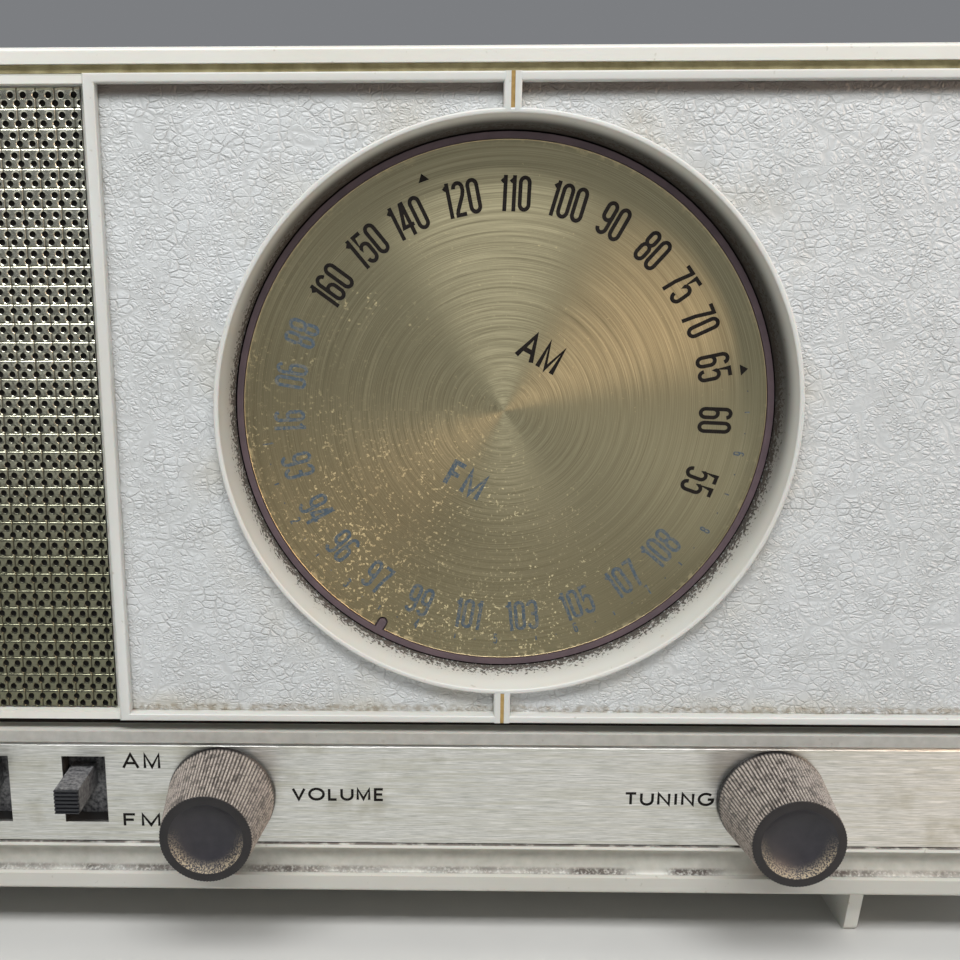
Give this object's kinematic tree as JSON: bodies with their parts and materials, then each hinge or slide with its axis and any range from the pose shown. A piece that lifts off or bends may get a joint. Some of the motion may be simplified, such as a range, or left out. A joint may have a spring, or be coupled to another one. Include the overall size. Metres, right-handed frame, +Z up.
{
  "type": "table radio",
  "caption": "Free-standing table radio with a round rotating brass dial, perforated speaker grille, fluted knobs and slide switches.",
  "frame": {"origin": "on the standing surface, under the middle of the whole radio", "axes": "+Z up, +X to the right seen from the front, +Y from the front to the back"},
  "size_m": [0.38, 0.1652, 0.191],
  "materials": {
    "cream_plastic": "moulded, satin",
    "leatherette": "embossed vinyl",
    "brass_plate": "spun brushing, lacquered",
    "carrier_brown": "moulded",
    "strip_aluminium": "brushed lengthways",
    "grille_metal": "stamped and perforated, champagne anodised",
    "knob_brown": "moulded, fluted",
    "switch_black": "moulded",
    "index_gold": "foil",
    "cover_brown": "moulded",
    "bakelite_black": "moulded",
    "steel_plated": "zinc plated",
    "nickel": "nickel plated",
    "aluminium_can": "drawn",
    "tube_glass": "clear",
    "electrode_black": "blackened nickel",
    "phenolic_brown": "laminated paper",
    "fibreboard": "pressed board",
    "paper_black": "pulp paper",
    "felt_grey": "felt",
    "ferrite": "sintered",
    "lamination_steel": "laminated, varnished",
    "coil_paper": "waxed paper and enamelled wire",
    "shield_black": "moulded, matt black",
    "cord_braid": "braided"
  },
  "bodies": {
    "radio": {"afc_switch_body": "steel_plated", "antenna_clips": "bakelite_black", "antenna_coil": "coil_paper", "antenna_terminal_screws": "nickel", "antenna_terminal_strip": "phenolic_brown", "back_cover": "cover_brown", "back_cover_screws": "nickel", "band_switch_body": "steel_plated", "bushing_nuts": "nickel", "cabinet_shell": "cream_plastic", "chassis_pan": "steel_plated", "chassis_screws": "steel_plated", "circuit_board": "phenolic_brown", "control_strip": "strip_aluminium", "dial_cord": "cord_braid", "dial_shield": "shield_black", "face_frame": "cream_plastic", "ferrite_rod": "ferrite", "filter_capacitor": "aluminium_can", "gang_bracket": "steel_plated", "gang_frame": "steel_plated", "gang_stator": "aluminium_can", "grille_frame": "cream_plastic", "if_transformer_cans": "aluminium_can", "leatherette_left": "leatherette", "leatherette_right": "leatherette", "left_foot_runner": "cream_plastic", "mains_inlet_body": "bakelite_black", "mains_inlet_pins": "nickel", "output_transformer_coil": "coil_paper", "output_transformer_core": "lamination_steel", "right_foot_runner": "cream_plastic", "speaker_baffle": "fibreboard", "speaker_basket": "steel_plated", "speaker_cone": "paper_black", "speaker_dust_cap": "felt_grey", "speaker_gasket": "felt_grey", "speaker_grille": "grille_metal", "speaker_magnet": "lamination_steel", "speaker_screws": "steel_plated", "tube_electrodes": "electrode_black", "tube_glasses": "tube_glass", "tube_sockets": "bakelite_black", "tuning_bushing": "nickel", "tuning_index_lines": "index_gold", "volume_pot_body": "steel_plated"},
    "dial": {"dial_disc": "brass_plate", "dial_rim": "carrier_brown", "dial_drum": "phenolic_brown", "gang_rotor": "aluminium_can"},
    "tuning_control": {"tuning_knob": "knob_brown", "tuning_shaft": "steel_plated", "tuning_knob_spring": "steel_plated"},
    "volume_control": {"volume_knob": "knob_brown", "volume_shaft": "steel_plated", "volume_knob_spring": "steel_plated"},
    "band_switch": {"band_switch_lever": "switch_black"},
    "afc_switch": {"afc_switch_lever": "switch_black"}
  },
  "joints": [
    {"name": "dial_turn", "type": "hinge", "parent": "radio", "child": "dial", "pos_m": [0.0638, -0.0469, 0.1199], "axis": [0, 1, 0], "range_deg": [-111, 55]},
    {"name": "tuning_turn", "type": "hinge", "parent": "radio", "child": "tuning_control", "pos_m": [0.123, -0.0654, 0.0354], "axis": [0, 1, 0], "range_deg": [-667, 331]},
    {"name": "volume_turn", "type": "hinge", "parent": "radio", "child": "volume_control", "pos_m": [0.0025, -0.0654, 0.0354], "axis": [0, 1, 0], "range_deg": [0, 300]},
    {"name": "band_slide", "type": "slide", "parent": "radio", "child": "band_switch", "axis": [0, 0, -1], "range_m": [0, 0.0065]},
    {"name": "afc_slide", "type": "slide", "parent": "radio", "child": "afc_switch", "axis": [0, 0, -1], "range_m": [0, 0.0065]}
  ],
  "couplings": [
    {"joint": "tuning_turn", "follows": "dial_turn", "ratio": 6}
  ]
}
